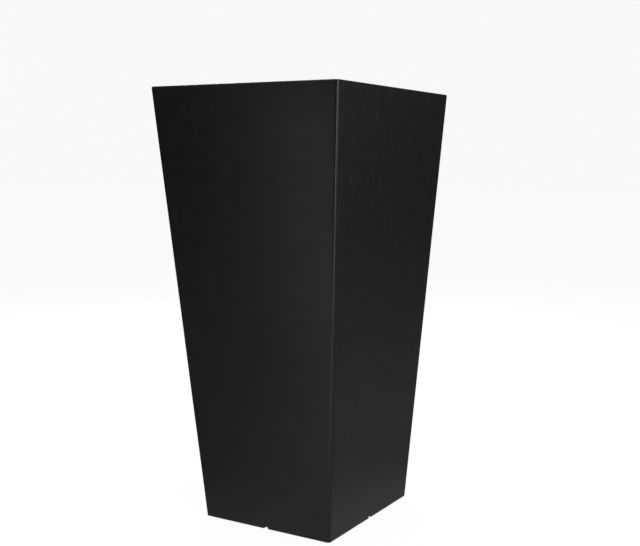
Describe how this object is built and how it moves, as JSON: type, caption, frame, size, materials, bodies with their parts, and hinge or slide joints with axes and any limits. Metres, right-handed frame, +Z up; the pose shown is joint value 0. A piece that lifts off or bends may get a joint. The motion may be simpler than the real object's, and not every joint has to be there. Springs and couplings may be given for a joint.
{
  "type": "planter box",
  "caption": "Tall square planter box tapering to its foot, with a lift-out growing liner and a water reservoir, fill shaft and level indicator inside.",
  "frame": {"origin": "middle of the square foot, on the ground plane under the pads", "axes": "+Z up through the mouth, -Y the front, +X the right"},
  "size_m": [0.3946, 0.3946, 0.8],
  "materials": {
    "shell": "black fibre-reinforced composite, moulded, satin",
    "rubber": "soft moulded",
    "liner": "dark grey moulded, fine texture",
    "handle": "dark grey moulded, fine texture",
    "separator": "grey moulded",
    "pipe": "extruded pipe, semi-gloss",
    "cap": "blue moulded, fine texture",
    "pin": "drawn stainless rod",
    "clear": "clear plastic",
    "float": "closed-cell foam",
    "flag": "red moulded"
  },
  "bodies": {
    "shell": {"outer_shell": "shell", "foot_pads": "rubber"},
    "floor_plug": {"floor_drain_plug": "rubber"},
    "liner": {"liner": "liner", "overflow_standpipe": "pipe", "standpipe_seal": "rubber", "standpipe_nut": "pipe"},
    "handle_left": {"handle_left": "handle"},
    "handle_right": {"handle_right": "handle"},
    "separator": {"separator_plate": "separator", "wick_basket_front": "separator", "wick_basket_back": "separator", "wick_basket_left": "separator", "wick_basket_right": "separator", "fill_shaft": "separator", "cap_hinge_pin": "pin", "level_tube": "clear", "level_tube_cap": "clear"},
    "fill_cap": {"fill_cap": "cap"},
    "float": {"level_float": "float", "level_rod": "pin", "level_flag": "flag"}
  },
  "joints": [
    {"name": "liner_lift", "type": "slide", "parent": "shell", "child": "liner", "axis": [0, 0, 1], "range_m": [0, 0.46]},
    {"name": "floor_plug_lift", "type": "slide", "parent": "shell", "child": "floor_plug", "axis": [0, 0, 1], "range_m": [0, 0.06]},
    {"name": "handle_left_slide", "type": "slide", "parent": "liner", "child": "handle_left", "axis": [0, 0, 1], "range_m": [0, 0.06]},
    {"name": "handle_right_slide", "type": "slide", "parent": "liner", "child": "handle_right", "axis": [0, 0, 1], "range_m": [0, 0.06]},
    {"name": "separator_lift", "type": "slide", "parent": "liner", "child": "separator", "axis": [0, 0, 1], "range_m": [0, 0.44]},
    {"name": "fill_cap_hinge", "type": "hinge", "parent": "separator", "child": "fill_cap", "pos_m": [-0.09172, 0.11972, 0.7779], "axis": [-1, 0, 0], "range_deg": [0, 110]},
    {"name": "float_rise", "type": "slide", "parent": "separator", "child": "float", "axis": [0, 0, 1], "range_m": [0, 0.05]}
  ]
}
